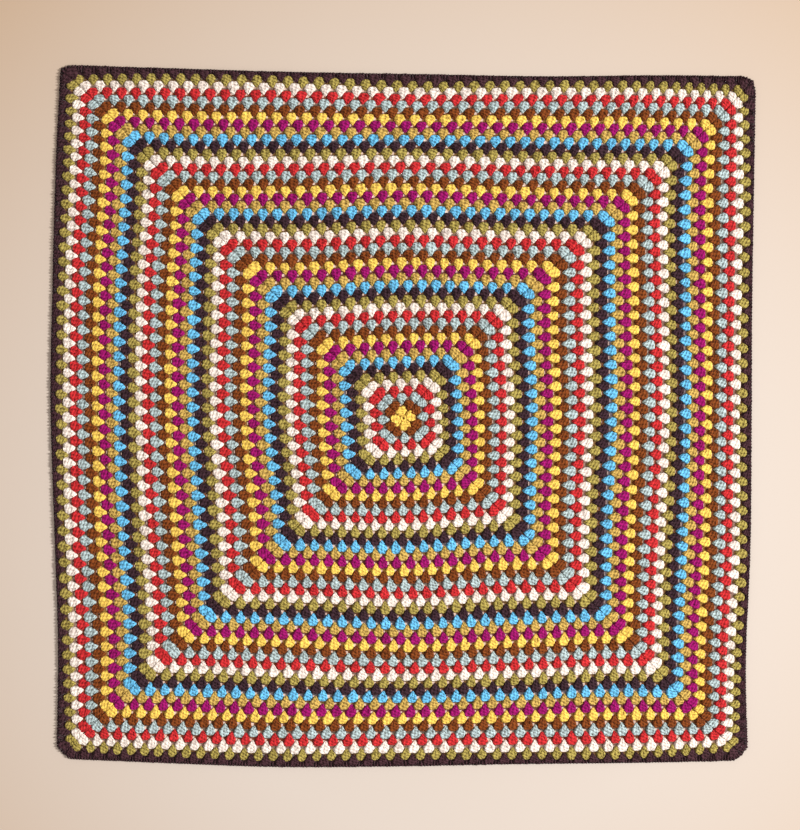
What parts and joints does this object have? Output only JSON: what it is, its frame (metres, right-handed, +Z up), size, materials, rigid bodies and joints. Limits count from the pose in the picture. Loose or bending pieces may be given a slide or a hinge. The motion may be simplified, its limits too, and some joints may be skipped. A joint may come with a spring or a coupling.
{
  "type": "granny square blanket",
  "caption": "Square crocheted blanket made as one large granny square in coloured rounds with a dark edging, lying flat.",
  "frame": {"origin": "on the surface that the blanket lies on, under the middle of its outline", "axes": "+Z up out of the blanket's face, +Y towards the top edge of the picture, +X towards its right edge"},
  "size_m": [1.1197, 1.1139, 0.0055],
  "materials": {
    "square_yarn": "matt wool yarn, ten colours in rounds",
    "edging_yarn": "matt wool yarn, dark aubergine",
    "yarn_yellow": "matt wool yarn, yellow",
    "yarn_brown": "matt wool yarn, brown",
    "yarn_pale_blue": "matt wool yarn, pale blue",
    "yarn_red": "matt wool yarn, red",
    "yarn_cream": "matt wool yarn, cream",
    "yarn_olive": "matt wool yarn, olive",
    "yarn_aubergine": "matt wool yarn, aubergine",
    "yarn_bright_blue": "matt wool yarn, bright blue",
    "yarn_mustard": "matt wool yarn, mustard",
    "yarn_plum": "matt wool yarn, plum"
  },
  "bodies": {
    "root": {"square": "square_yarn", "edging": "edging_yarn"}
  },
  "joints": []
}
